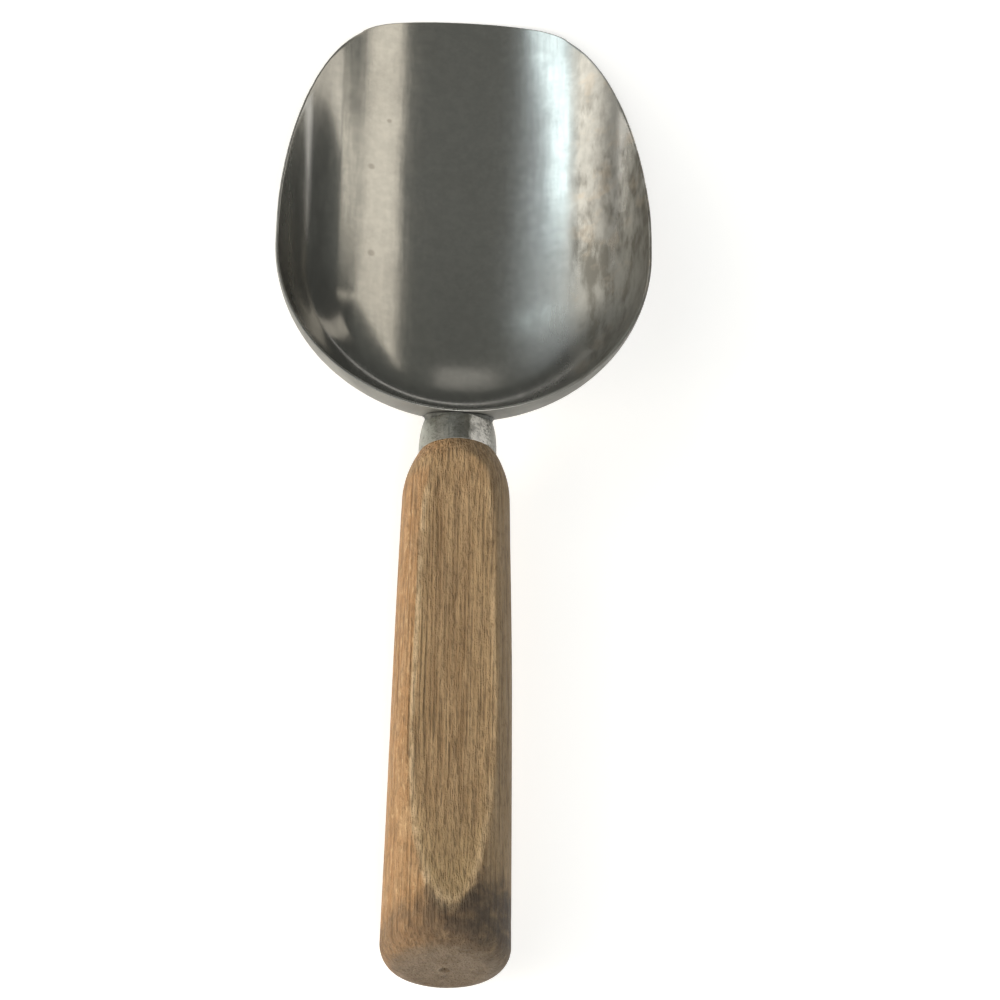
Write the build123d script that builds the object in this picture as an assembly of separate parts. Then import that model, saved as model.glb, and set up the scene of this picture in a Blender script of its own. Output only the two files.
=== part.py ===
from build123d import *
import math
import os

os.makedirs("parts", exist_ok=True)

# A hand scoop that measures: a pressed steel trough with a rounded back, a bell-shaped steel
# ferrule brazed to that back, and a turned wooden handle with two flats, held by a steel tang.
# Millimetres. +Y points out of the lip, +Z out of the open top, and X = 0 is the plane of symmetry.
# The pieces are drawn from the centre of the rounded back, in the plane of the level rim, and
# moved at the end, so that the origin lies under the middle of the whole scoop.

# Bowl, pressed from one sheet
half_width = 41.0        # inside, at the rim
depth = 22.5             # rim down to the inside of the trough
sheet = 1.0
corner_share = 0.978     # corner radius, inside, as a share of the depth
flare = 7.0              # degrees that the walls lean out at the rim
reach = 76.4             # centre of the rounded back to the lip

# Rim, level at the back and falling to the lip
level_rim = 8.6          # where the level rim and the falling rim would meet
rim_blend = 40.0         # radius between them
lip_drop = 0.6           # height over the trough at which the falling rim would reach the lip
lip_round = 16.0         # radius of its last drop, which rounds the lip

# Handle, measured along its axis from the back of the bowl at the rim
axis_drop = 8.2          # rim plane down to the handle's axis
handle_start = 6.5       # where the wood meets the ferrule's edge
handle_end = 127.0       # end face of the butt
shoulder_end = 17.5      # where the shoulder runs into the grip
shoulder_radius = 11.75
butt_radius = 13.6
butt_round = 5.5
grip_bow = 0.15          # how far the grip swells past a straight taper
centre_mark_radius = 1.1
centre_mark_depth = 0.9

# Flats, one above and one below, cut along the grip and run out at both ends
flat_height = 8.65       # axis to each flat
flat_start = 27.0
flat_end = 68.0
runout_front = 70.0      # radius of the run-out towards the ferrule
runout_butt = 280.0      # radius of the run-out towards the butt

# Ferrule, drawn as a bell and coped to the back of the bowl
ferrule_radius = 8.5
ferrule_sheet = 0.7
ferrule_straight = 2.0   # cylindrical part at its edge
ferrule_dome = 11.0      # length that the dome would have, if the bowl did not cut it off
ferrule_nose = 3.1       # radius that the dome would close to

# Tang, a steel rod from the bowl into the wood
tang_radius = 3.0
tang_end = 70.0
tang_point = 6.0         # length of its point
tang_tip_radius = 1.0
bore_spare = 1.0         # bore past the tip of the tang

# Tenon, the end of the handle inside the ferrule
tenon_length = 5.0
tenon_play = 0.15        # between its tapered tip and the dome

# Metal that joins the ferrule and the tang to the bowl
braze_size = 1.2
weld_size = 1.2
joint_below_rim = 0.6    # where the braze stops under the rim

overrun = 4.0            # how far cutting and filling bodies pass the faces they meet

back = half_width + sheet
corner_radius = corner_share * depth
flare_angle = math.radians(flare)
bowl_y = (back + handle_end - reach) / 2
rim_z = depth + sheet

# The bowl's section: a corner arc each side and a wide floor arc between them, all tangent.
# The corner arcs run on to the vertical, past the rim, and are trimmed with the rim.
corner_x = half_width - corner_radius * math.cos(flare_angle)
corner_z = corner_radius * math.sin(flare_angle)
corner_rise = depth + corner_z
floor_radius = (corner_x**2 + corner_rise**2 - corner_radius**2) / (2 * (corner_rise - corner_radius))
floor_z = floor_radius - depth
join_angle = math.atan2(corner_x, floor_z - corner_z)
upright = math.pi / 2

# The tenon is straight in the ferrule's cylindrical part and tapers along the dome.
tenon_radius = ferrule_radius - ferrule_sheet
tenon_taper = tenon_length - ferrule_straight
taper_angle = math.asin(tenon_taper / (ferrule_dome - ferrule_sheet))
tenon_tip_radius = ferrule_nose + (tenon_radius - ferrule_nose) * math.cos(taper_angle) - tenon_play


def behind(distance):
    """Y of a place on the handle, from its distance behind the bowl."""
    return -back - distance


def arc_point(x, z, radius, angle):
    """Point of an arc about (x, z), by its angle from straight down."""
    return (x + radius * math.sin(angle), z - radius * math.cos(angle))


def arc(x, z, radius, start, end):
    """Arc about (x, z) between two angles from straight down."""
    middle = (start + end) / 2
    return ThreePointArc(*[arc_point(x, z, radius, angle) for angle in (start, middle, end)])


def half_section(outward):
    """Floor arc and corner arc of the right half, a distance outside the inner skin."""
    floor = arc(0, floor_z, floor_radius + outward, 0, join_angle)
    corner = arc(corner_x, corner_z, corner_radius + outward, join_angle, upright)
    return floor, corner


def sheet_section():
    """Right half of the sheet, cut across the trough."""
    with BuildSketch(Plane.XZ) as section:
        with BuildLine():
            inner_floor, inner_corner = half_section(0)
            outer_floor, outer_corner = half_section(sheet)
            Line(inner_floor @ 0, outer_floor @ 0)
            Line(inner_corner @ 1, outer_corner @ 1)
        make_face()
    return section.sketch


def filled_section(outward):
    """Right half of everything inside a skin, a distance outside the inner one."""
    with BuildSketch(Plane.XZ) as section:
        with BuildLine():
            floor, corner = half_section(outward)
            side = (corner @ 1).X
            Polyline(corner @ 1, (side, overrun), (0, overrun), floor @ 0)
        make_face()
    return section.sketch


def rounded_back(section):
    """A half section carried round the back of the bowl."""
    return revolve(section, Axis.Z, revolution_arc=-180)


def trough():
    """The sheet, carried along the trough and round the back, before its rim is trimmed."""
    section = sheet_section()
    whole = section + section.mirror(Plane.YZ)
    straight = extrude(whole, amount=reach + overrun, dir=Axis.Y.direction)
    return straight + rounded_back(section)


def trim_tool():
    """Everything above the rim and past the lip."""
    slope = math.atan2(depth - lip_drop, reach - level_rim)
    fall = Vector(math.cos(slope), -math.sin(slope))
    square = Vector(math.sin(slope), math.cos(slope))
    corner = Vector(level_rim, 0)
    lip = Vector(reach, -rim_z)
    blend_length = rim_blend * math.tan(slope / 2)
    offset = lip - corner + square * lip_round
    along = offset.dot(fall)
    fall_length = along - math.sqrt(lip_round**2 - offset.length**2 + along**2)
    fall_end = corner + fall * fall_length
    centre = fall_end - square * lip_round
    past_lip = -rim_z - sheet
    drop_end = Vector(centre.X + math.sqrt(lip_round**2 - (past_lip - centre.Y) ** 2), past_lip)
    level_end = corner - Vector(blend_length, 0)
    low = -rim_z - overrun
    high = corner_z + 2 * overrun
    front = reach + 2 * overrun
    rear = -back - 2 * overrun
    with BuildSketch(Plane.YZ) as side:
        with BuildLine():
            TangentArc(level_end, corner + fall * blend_length, tangent=Axis.X.direction)
            Line(corner + fall * blend_length, fall_end)
            TangentArc(fall_end, drop_end, tangent=fall)
            Polyline(drop_end, (drop_end.X, low), (front, low), (front, high), (rear, high), (rear, 0), level_end)
        make_face()
    return extrude(side.sketch, amount=back + 2 * overrun, both=True)


def turned(outline):
    """A turned piece on the handle's axis, from its outline in (radius, Y)."""
    return Pos(0, 0, -axis_drop) * revolve(outline.sketch, Axis.Y)


def bell(inward, longer):
    """The ferrule's outer form, or one that lies inside it, made longer at its edge."""
    edge = behind(handle_start + longer)
    dome_start = behind(handle_start - ferrule_straight)
    radius = ferrule_radius - inward
    length = ferrule_dome - inward
    with BuildSketch() as outline:
        with BuildLine():
            dome = EllipticalCenterArc((ferrule_nose, dome_start), radius - ferrule_nose, length)
            Polyline(dome @ 1, (0, dome_start + length), (0, edge), (radius, edge), dome @ 0)
        make_face()
    return turned(outline)


def pointed_bar(radius, end):
    """A round bar from inside the bowl's form to a pointed end in the handle."""
    start = behind(-overrun - ferrule_dome)
    point = behind(end - tang_point)
    tip = behind(end)
    with BuildSketch() as outline:
        with BuildLine():
            Polyline((0, start), (radius, start), (radius, point), (tang_tip_radius, tip), (0, tip), (0, start))
        make_face()
    return turned(outline)


def turned_handle():
    """The handle as it leaves the lathe, with its tenon and the mark of the lathe's centre."""
    tip = behind(handle_start - tenon_length)
    cylinder = behind(handle_start - ferrule_straight)
    shoulder = behind(handle_start)
    grip_start = behind(shoulder_end)
    grip_end = behind(handle_end - butt_round)
    butt = behind(handle_end)
    middle = ((shoulder_radius + butt_radius) / 2 + grip_bow, (grip_start + grip_end) / 2)
    with BuildSketch() as outline:
        with BuildLine():
            grip = ThreePointArc((shoulder_radius, grip_start), middle, (butt_radius, grip_end))
            TangentArc(grip @ 0, (ferrule_radius, shoulder), tangent=-(grip % 0))
            TangentArc(grip @ 1, (butt_radius - butt_round, butt), tangent=grip % 1)
            Line((butt_radius - butt_round, butt), (centre_mark_radius, butt))
            Polyline((centre_mark_radius, butt), (0, butt + centre_mark_depth), (0, tip), (tenon_tip_radius, tip))
            Polyline((tenon_tip_radius, tip), (tenon_radius, cylinder), (tenon_radius, shoulder))
            Line((tenon_radius, shoulder), (ferrule_radius, shoulder))
        make_face()
    return turned(outline)


def flat_cutter():
    """What is milled off the top of the grip, with a run-out at both ends."""
    clear = butt_radius + overrun
    cut = clear - flat_height
    front_run = math.sqrt(runout_front**2 - (runout_front - cut) ** 2)
    butt_run = math.sqrt(runout_butt**2 - (runout_butt - cut) ** 2)
    with BuildSketch(Plane.YZ) as side:
        with BuildLine():
            land = Line((behind(flat_start), flat_height), (behind(flat_end), flat_height))
            front = TangentArc(land @ 0, (behind(flat_start - front_run), clear), tangent=-(land % 0))
            butt = TangentArc(land @ 1, (behind(flat_end + butt_run), clear), tangent=land % 1)
            Line(front @ 1, butt @ 1)
        make_face()
    return extrude(side.sketch, amount=clear, both=True)


def joint_metal(form, stem, grown_stem, size):
    """The ring of metal in the corner between the bowl's form and a stem on its back."""
    grown_form = rounded_back(filled_section(sheet + size))
    block = Box(2 * back, 2 * back, 2 * back, align=(Align.CENTER, Align.CENTER, Align.MAX))
    below_rim = Pos(0, -back, -joint_below_rim) * block
    return (grown_form & grown_stem & below_rim) - form - stem


def main():
    form = rounded_back(filled_section(sheet))
    tang_bar = pointed_bar(tang_radius, tang_end)
    cutter = flat_cutter()
    flats = Pos(0, 0, -axis_drop) * (cutter + cutter.mirror(Plane.XY))
    ferrule_form = bell(0, 0)
    ferrule_inside = bell(ferrule_sheet, overrun)
    grown_tang = pointed_bar(tang_radius + weld_size, tang_end)
    pieces = {
        "scoop_bowl": trough() - trim_tool(),
        "ferrule": ferrule_form - ferrule_inside - form,
        "handle": turned_handle() - pointed_bar(tang_radius, tang_end + bore_spare) - flats,
        "tang": tang_bar - form,
        "braze_fillet": joint_metal(form, ferrule_form, bell(-braze_size, 0), braze_size),
        "tang_weld": joint_metal(form, tang_bar, grown_tang, weld_size) & ferrule_inside,
    }
    for name, piece in pieces.items():
        placed = Pos(0, bowl_y, rim_z) * piece
        placed.label = name
        export_step(placed, f"parts/{name}.step")
        box = placed.bounding_box()
        print(name, placed.is_valid, len(placed.solids()), round(placed.volume, 1), box.min, box.max)


main()
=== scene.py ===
import math

import bpy
import numpy as np
from mathutils import Matrix


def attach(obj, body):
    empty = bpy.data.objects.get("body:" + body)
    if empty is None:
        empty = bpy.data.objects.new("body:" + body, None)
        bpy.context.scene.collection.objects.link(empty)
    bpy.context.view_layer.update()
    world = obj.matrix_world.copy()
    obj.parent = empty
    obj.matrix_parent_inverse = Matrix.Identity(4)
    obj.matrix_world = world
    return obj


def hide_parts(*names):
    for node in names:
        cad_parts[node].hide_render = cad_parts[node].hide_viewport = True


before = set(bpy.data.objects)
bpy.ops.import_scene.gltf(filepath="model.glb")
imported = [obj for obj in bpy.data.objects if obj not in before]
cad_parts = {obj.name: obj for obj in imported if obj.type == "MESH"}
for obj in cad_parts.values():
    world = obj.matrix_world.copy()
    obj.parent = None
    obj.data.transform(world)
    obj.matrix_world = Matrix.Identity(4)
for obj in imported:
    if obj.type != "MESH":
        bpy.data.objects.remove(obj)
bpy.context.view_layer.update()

# Sizes of the solids, in millimetres. Points are worked out from the centre of the bowl's rounded
# back, in the plane of its level rim, with +Y out of the lip and +Z out of the open top.
MM = 0.001

# Bowl
HALF_WIDTH = 41.0          # inside, at the rim
DEPTH = 22.5               # rim down to the inside of the trough
SHEET = 1.0
CORNER_SHARE = 0.978       # corner radius, inside, as a share of the depth
FLARE = math.radians(7.0)  # lean of the walls at the rim
REACH = 76.4               # centre of the rounded back to the lip

# Rim, level at the back and falling to the lip
LEVEL_RIM = 8.6            # where the level rim and the falling rim would meet
RIM_BLEND = 40.0           # radius between them
LIP_DROP = 0.6             # height over the trough at which the falling rim would reach the lip
LIP_ROUND = 16.0           # radius of its last drop

# Handle, measured along its axis from the back of the bowl
AXIS_DROP = 8.2            # rim plane down to the handle's axis
HANDLE_START = 6.5
HANDLE_END = 127.0
SHOULDER_END = 17.5
SHOULDER_R = 11.75
BUTT_R = 13.6
BUTT_ROUND = 5.5
GRIP_BOW = 0.15            # how far the grip swells past a straight taper
MARK_R = 1.1               # mark of the lathe's centre in the end face
MARK_DEPTH = 0.9

# Flats of the handle, with the radii of their run-outs
FLAT_HEIGHT = 8.65         # axis to each flat
FLAT_START = 27.0
FLAT_END = 68.0
RUN_FRONT = 70.0
RUN_BUTT = 280.0

# Ferrule
FERRULE_R = 8.5
FERRULE_SHEET = 0.7
FERRULE_STRAIGHT = 2.0     # cylindrical part at its edge
FERRULE_DOME = 11.0        # length that the dome would have, if the bowl did not cut it off
FERRULE_NOSE = 3.1         # radius that the dome would close to

# Tang, its bore and the tenon
TANG_R = 3.0
TANG_END = 70.0
TANG_POINT = 6.0
TANG_TIP_R = 1.0
BORE_SPARE = 1.0           # bore past the tip of the tang
TENON_LENGTH = 5.0
TENON_PLAY = 0.15
JOINT_BELOW_RIM = 0.6      # where the braze stops under the rim

# Places that follow from them
BACK = HALF_WIDTH + SHEET
BOWL_Y = (BACK + HANDLE_END - REACH) / 2
RIM_Z = DEPTH + SHEET

# The bowl's section: its corner and floor arcs, and the angle at which they join
CORNER_R = CORNER_SHARE * DEPTH
CORNER_X = HALF_WIDTH - CORNER_R * math.cos(FLARE)
CORNER_Z = CORNER_R * math.sin(FLARE)
RISE = DEPTH + CORNER_Z
FLOOR_R = (CORNER_X**2 + RISE**2 - CORNER_R**2) / (2 * (RISE - CORNER_R))
FLOOR_Z = FLOOR_R - DEPTH
JOIN = math.atan2(CORNER_X, FLOOR_Z - CORNER_Z)
FLOOR_LENGTH = FLOOR_R * JOIN

# Wear of the visible pieces, in millimetres
INSIDE = 0.02              # how far hidden and outermost faces stay inside the solids
BOWL_EDGE = 0.28           # how far the rounded edge of the sheet bulges past the ends of its skins
RIM_THINNED = 0.38         # share of the sheet that is worn off at the rim
THIN_FROM = 0.88           # share of the way to the rim at which that starts
LIP_STILL = 8.0            # stretch before the lip over which waves and dents die away
FERRULE_EDGE = 0.22        # round of the ferrule's edge
HANDLE_CORNER = 0.5        # wear of the edges of the flats
BRAZE_SIZE = 0.80
WAVES_PER_OCTAVE = 5
WAVE_FADE = 0.55           # height of each octave of waves as a share of the one before


def wave(points, length, seed, octaves=3):
    """Smooth repeatable noise of about -1 to 1, from sums of sines in turned directions."""
    draws = np.random.default_rng(seed)
    total = np.zeros(len(points))
    size = 0.0
    for octave in range(octaves):
        height = WAVE_FADE**octave
        for _ in range(WAVES_PER_OCTAVE):
            direction = draws.normal(size=3)
            direction /= np.linalg.norm(direction)
            start = draws.uniform(0, 2 * math.pi)
            total += height * np.sin((points @ direction) * 2 * math.pi * 2**octave / length + start)
        size += height * WAVES_PER_OCTAVE**0.5
    return total / size


def hollow(points, x, y, size_x, size_y):
    """Weight of 1 at a place seen from above, which fades to 0 round it like a bell curve."""
    across = (points[:, 0] - x) ** 2 / (2 * size_x**2)
    along = (points[:, 1] - y) ** 2 / (2 * size_y**2)
    return np.exp(-across - along)


def mesh_piece(name, points, faces):
    """A smooth mesh from points in millimetres, moved to the bowl's place."""
    points = np.asarray(points, float) + np.array([0, BOWL_Y, RIM_Z])
    mesh = bpy.data.meshes.new(name)
    mesh.from_pydata((points * MM).tolist(), [], faces)
    mesh.validate()
    piece = bpy.data.objects.new(name, mesh)
    bpy.context.scene.collection.objects.link(piece)
    for polygon in mesh.polygons:
        polygon.use_smooth = True
    return piece


def ring_faces(rings, around, joined=False, flip=False):
    """Quads between closed rings of points; joined also ties the last ring to the first."""
    faces = []
    for ring in range(rings if joined else rings - 1):
        low = ring * around
        high = (ring + 1) % rings * around
        for i in range(around):
            j = (i + 1) % around
            quad = (low + i, low + j, high + j, high + i)
            faces.append(quad[::-1] if flip else quad)
    return faces


# Bowl

def skin(s):
    """Inner skin at a distance s from the bottom of the section: x, z and its outward normal."""
    s = np.asarray(s, float)
    on_floor = s <= FLOOR_LENGTH
    angle = np.where(on_floor, s / FLOOR_R, JOIN + (s - FLOOR_LENGTH) / CORNER_R)
    radius = np.where(on_floor, FLOOR_R, CORNER_R)
    x = np.where(on_floor, 0, CORNER_X) + radius * np.sin(angle)
    z = np.where(on_floor, FLOOR_Z, CORNER_Z) - radius * np.cos(angle)
    return x, z, np.sin(angle), -np.cos(angle)


def rim_height(y):
    """Height of the trimmed rim, seen from the side: level, blended, falling, then rounded."""
    slope = math.atan2(DEPTH - LIP_DROP, REACH - LEVEL_RIM)
    fall = np.array([math.cos(slope), -math.sin(slope)])
    square = np.array([math.sin(slope), math.cos(slope)])
    blend = RIM_BLEND * math.tan(slope / 2)
    offset = np.array([REACH - LEVEL_RIM, -RIM_Z]) + square * LIP_ROUND
    along = offset @ fall
    fall_length = along - math.sqrt(LIP_ROUND**2 - offset @ offset + along**2)
    blend_start = LEVEL_RIM - blend
    blend_end = LEVEL_RIM + blend * fall[0]
    fall_end = LEVEL_RIM + fall_length * fall[0]
    centre = np.array([LEVEL_RIM, 0]) + fall * fall_length - square * LIP_ROUND
    y = np.asarray(y, float)
    blended = np.sqrt(np.clip(RIM_BLEND**2 - (y - blend_start) ** 2, 0, None)) - RIM_BLEND
    falling = (y - LEVEL_RIM) * math.tan(-slope)
    rounded = centre[1] + np.sqrt(np.clip(LIP_ROUND**2 - (y - centre[0]) ** 2, 0, None))
    return np.select([y < blend_start, y < blend_end, y < fall_end], [0 * y, blended, falling], rounded)


SECTION_SAMPLES, LIP_SAMPLES = 4000, 600
SECTION_S = np.linspace(0, FLOOR_LENGTH + CORNER_R * (math.pi / 2 - JOIN), SECTION_SAMPLES)
_, INNER_Z, _, NORMAL_Z = skin(SECTION_S)
OUTER_Z = INNER_Z + SHEET * NORMAL_Z


def rim_s(y):
    """Distance from the bottom at which the outer skin meets the rim."""
    return np.interp(rim_height(y), OUTER_Z, SECTION_S)


def lip_sag(s):
    """How far the lip lies behind its middle, at a distance from the bottom."""
    lip_stretch = 12
    y = np.linspace(REACH - lip_stretch, REACH, LIP_SAMPLES)
    return REACH - np.interp(s, rim_s(y)[::-1], y[::-1])


def trough(half, rows):
    """Rows along the trough: inner points, outward normals and each point's share of the way to the rim."""
    lip_half, lip_corner, row_crowding, bowed_inset = 12.0, 24.0, 0.95, 0.35
    lip_y = REACH - float(lip_sag(lip_half))
    bow_start = 0.55 * REACH
    across = np.linspace(-1, 1, 2 * half + 1)
    sign = np.sign(across)
    points, normals, near_rim = [], [], []
    for share in np.linspace(0, 1, rows + 1):
        row_y = lip_y * math.sin(share * math.pi / 2) ** row_crowding
        # towards the lip the rows bow like the lip itself
        bow = max(0, (row_y - bow_start) / (lip_y - bow_start)) ** 2
        s_end = float(rim_s(row_y))
        s = np.abs(across) * (s_end - BOWL_EDGE * (1 - bowed_inset * bow))
        bowed = lip_sag(np.full(1, min(s_end, lip_corner)))[0] - lip_sag(np.minimum(s, lip_corner))
        x, z, normal_x, normal_z = skin(s)
        points.append(np.c_[sign * x, row_y + bow * (bowed - BOWL_EDGE), z])
        normals.append(np.c_[sign * normal_x, 0 * across, normal_z])
        near_rim.append(np.maximum(np.abs(across), share))
    return points, normals, near_rim


def rounded_back(half, turns):
    """Spokes round the back, without its first and last spoke, which the trough's first row holds."""
    share = np.linspace(0, 1, half + 1)[1:]
    x, z, normal_x, normal_z = skin(share * (float(rim_s(0.0)) - BOWL_EDGE))
    points, normals, near_rim = [], [], []
    for spoke in range(1, turns):
        angle = -math.pi * spoke / turns
        points.append(np.c_[x * math.cos(angle), x * math.sin(angle), z])
        normals.append(np.c_[normal_x * math.cos(angle), normal_x * math.sin(angle), normal_z])
        near_rim.append(share)
    return points, normals, near_rim


def skin_cells(half, rows, turns):
    """Faces of one skin of the bowl, and the numbers of its rim's points in order."""
    front = np.arange((rows + 1) * (2 * half + 1)).reshape(rows + 1, 2 * half + 1)
    back = np.zeros((turns + 1, half + 1), int)
    back[0] = front[0, half:]
    back[turns] = front[0, half::-1]
    back[:, 0] = front[0, half]
    back[1:turns, 1:] = front.size + np.arange((turns - 1) * half).reshape(turns - 1, half)
    cells = []
    for r in range(rows):
        for c in range(2 * half):
            cells.append((front[r, c], front[r, c + 1], front[r + 1, c + 1], front[r + 1, c]))
    for r in range(turns):
        cells.append((back[r, 0], back[r + 1, 1], back[r, 1]))
        for c in range(1, half):
            cells.append((back[r, c], back[r + 1, c], back[r + 1, c + 1], back[r, c + 1]))
    right, left, lip = front[::-1, 2 * half], front[:, 0], front[rows, 1:2 * half]
    return cells, np.concatenate([right, back[1:turns, half], left, lip])


def rounded_edge(rim, normal, sheet, rows):
    """Rows of points round the sheet's edge, from its inner to its outer skin, with small nicks."""
    trough_middle = np.array([0, 20, -8])
    nick_depth, least_edge, edge_fullness = 0.25, 0.6, 0.6
    tangent = np.roll(rim, -1, 0) - np.roll(rim, 1, 0)
    tangent /= np.linalg.norm(tangent, axis=1)[:, None]
    outward = np.cross(normal, tangent)
    side = np.sign((outward * (rim - trough_middle)).sum(1))
    outward *= side[:, None] / np.linalg.norm(outward, axis=1)[:, None]
    nicks = np.clip(1 + nick_depth * wave(rim, length=5, seed=9), least_edge, 1)
    strip = []
    for angle in np.linspace(0, math.pi, rows + 2)[1:-1]:
        across = (1 - math.cos(angle)) / 2
        out = BOWL_EDGE * math.sin(angle) ** edge_fullness
        strip.append(rim + normal * sheet[:, None] * across + outward * (out * nicks)[:, None])
    return strip


def build_bowl():
    half, rows, turns, edge_rows = 64, 110, 110, 7
    # waves are height, length and seed; dents are x, y, size and depth
    waves = [(0.03, 46, 3), (0.003, 13, 4)]
    dents = [(-17, 30, 9, 0.06), (12, 8, 12, -0.05), (-24, -12, 8, 0.05), (28, 44, 7, 0.05)]
    parts = zip(trough(half, rows), rounded_back(half, turns))
    inner, normal, near_rim = [np.concatenate(front + back) for front, back in parts]
    cells, loop = skin_cells(half, rows, turns)
    # pressed sheet is never quite true: long waves and a few soft dents, the same through the sheet
    shift = sum(height * wave(inner, length, seed) for height, length, seed in waves)
    for x, y, size, depth in dents:
        shift += depth * hollow(inner, x, y, size, size)
    shift *= np.clip((REACH - inner[:, 1]) / LIP_STILL, 0, 1)
    inner = inner + normal * shift[:, None]
    # here it is how far the sheet is worn thin towards the rim
    wear_and_painted_highlight = np.clip((near_rim - THIN_FROM) / (1 - THIN_FROM), 0, 1) ** 2
    sheet = SHEET * (1 - RIM_THINNED * wear_and_painted_highlight)
    outer = inner + normal * sheet[:, None]
    strip = rounded_edge(inner[loop], normal[loop], sheet[loop], edge_rows)
    points = np.vstack([inner, outer] + strip)
    points[:, 1] = np.minimum(points[:, 1], REACH - INSIDE)
    points[:, 2] = np.maximum(points[:, 2], -RIM_Z + INSIDE)
    count, around = len(inner), len(loop)
    faces = [tuple(int(v) for v in cell) for cell in cells]
    faces += [tuple(int(v) + count for v in cell[::-1]) for cell in cells]
    edge = [2 * count + row * around + np.arange(around) for row in range(edge_rows)]
    ladder = [loop] + edge + [loop + count]
    for low, high in zip(ladder[:-1], ladder[1:]):
        for i in range(around):
            j = (i + 1) % around
            faces.append((int(low[i]), int(low[j]), int(high[j]), int(high[i])))
    return mesh_piece("bowl", points, faces)


# Ferrule

def outer_radius(z):
    """Distance of the bowl's outer skin from the middle of its back, at a height."""
    return CORNER_X + np.sqrt(np.clip((CORNER_R + SHEET) ** 2 - (z - CORNER_Z) ** 2, 0, None))


def bell_profile(t, inward=0.0):
    """Ferrule's outline, from its edge (t = 0) towards the bowl, as (distance behind the bowl, radius)."""
    radius = FERRULE_R - inward
    if t <= FERRULE_STRAIGHT:
        return HANDLE_START - t, radius
    share = min((t - FERRULE_STRAIGHT) / (FERRULE_DOME - inward), 1.0)
    return HANDLE_START - t, FERRULE_NOSE + (radius - FERRULE_NOSE) * math.sqrt(1 - share**2)


def on_axis(distance, radius, angle):
    """Point at an angle round the handle's axis, measured from the top."""
    return np.array([radius * math.sin(angle), -BACK - distance, -AXIS_DROP + radius * math.cos(angle)])


def off_axis(points):
    """Unit directions away from the handle's axis, and distances from it."""
    away = np.c_[points[:, 0], 0 * points[:, 0], points[:, 2] + AXIS_DROP]
    distance = np.linalg.norm(away, axis=1)
    return away / distance[:, None], distance


def seam(angle, inward=0.0):
    """How far along the ferrule's outline it meets the bowl."""
    low, high = 0.0, FERRULE_STRAIGHT + FERRULE_DOME - inward
    for _ in range(40):
        t = (low + high) / 2
        x, y, z = on_axis(*bell_profile(t, inward), angle)
        if math.hypot(x, y) > outer_radius(z):
            low = t
        else:
            high = t
    return low


def build_ferrule():
    around, along, edge_steps = 144, 34, 8
    ring_crowding, edge_fullness = 0.9, 0.6
    hammered, pitted, widest_layer = 0.05, 0.015, 0.5
    free_from, free_stretch = 1.0, 4
    angles = [2 * math.pi * k / around for k in range(around)]

    def bell_rings(inward=0.0):
        reach = [seam(angle, inward) for angle in angles]
        rings = []
        for k in range(1, along + 1):
            share = (k / along) ** ring_crowding
            rings.append([on_axis(*bell_profile(t * share, inward), a) for t, a in zip(reach, angles)])
        return rings

    edge = []
    for step in range(edge_steps + 1):
        turn = math.pi * step / edge_steps
        radius = FERRULE_R - FERRULE_SHEET / 2 - FERRULE_SHEET / 2 * math.cos(turn)
        distance = HANDLE_START - FERRULE_EDGE + FERRULE_EDGE * math.sin(turn) ** edge_fullness
        edge.append([on_axis(distance, radius, angle) for angle in angles])
    rings = bell_rings(FERRULE_SHEET)[::-1] + edge + bell_rings()
    points = np.array(rings).reshape(-1, 3)
    # hammered a little out of round where it is widest, but not where it meets the bowl
    outward, distance = off_axis(points)
    free = np.clip((-BACK - points[:, 1] + free_from) / free_stretch, 0, 1)
    widest = distance > FERRULE_R - widest_layer
    shift = -hammered * (1 + wave(points, length=7, seed=21))
    shift -= pitted * (1 + wave(points, length=2.2, seed=22))
    points = points + outward * (shift * free * widest)[:, None]
    return mesh_piece("ferrule_shell", points, ring_faces(len(rings), around, joined=True))


# Handle

def circle_through(p, q, r):
    """Centre and radius of the circle through three points."""
    chords = np.array([q - p, r - p]) * 2
    squares = np.array([q @ q - p @ p, r @ r - p @ p])
    centre = np.linalg.solve(chords, squares)
    return centre, np.linalg.norm(centre - p)


def tangent_at(centre, p):
    """Direction of a circle at one of its points, forwards along the axis."""
    radial = p - centre
    tangent = np.array([radial[1], -radial[0]])
    return tangent / np.linalg.norm(tangent)


def tangent_circle(p, tangent, q):
    """Circle that leaves p along a tangent and passes through q."""
    normal = np.array([-tangent[1], tangent[0]])
    chord = q - p
    radius = (chord @ chord) / (2 * (normal @ chord))
    return p + normal * radius, abs(radius)


def upper_arc(circle, a):
    """Height of a circle's upper half over the axis."""
    centre, radius = circle
    return centre[1] + np.sqrt(np.clip(radius**2 - (a - centre[0]) ** 2, 0, None))


def handle_radius(a):
    """Radius of the turned handle, as in the solids: shoulder, grip and butt from tangent arcs."""
    a = np.asarray(a, float)
    grip_end = HANDLE_END - BUTT_ROUND
    front, back = np.array([SHOULDER_END, SHOULDER_R]), np.array([grip_end, BUTT_R])
    middle = np.array([(SHOULDER_END + grip_end) / 2, (SHOULDER_R + BUTT_R) / 2 + GRIP_BOW])
    grip = circle_through(front, middle, back)
    start, end = np.array([HANDLE_START, FERRULE_R]), np.array([HANDLE_END, BUTT_R - BUTT_ROUND])
    shoulder = tangent_circle(front, -tangent_at(grip[0], front), start)
    butt = tangent_circle(back, tangent_at(grip[0], back), end)
    return np.select([a < SHOULDER_END, a <= grip_end],
                     [upper_arc(shoulder, a), upper_arc(grip, a)], upper_arc(butt, a))


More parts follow.
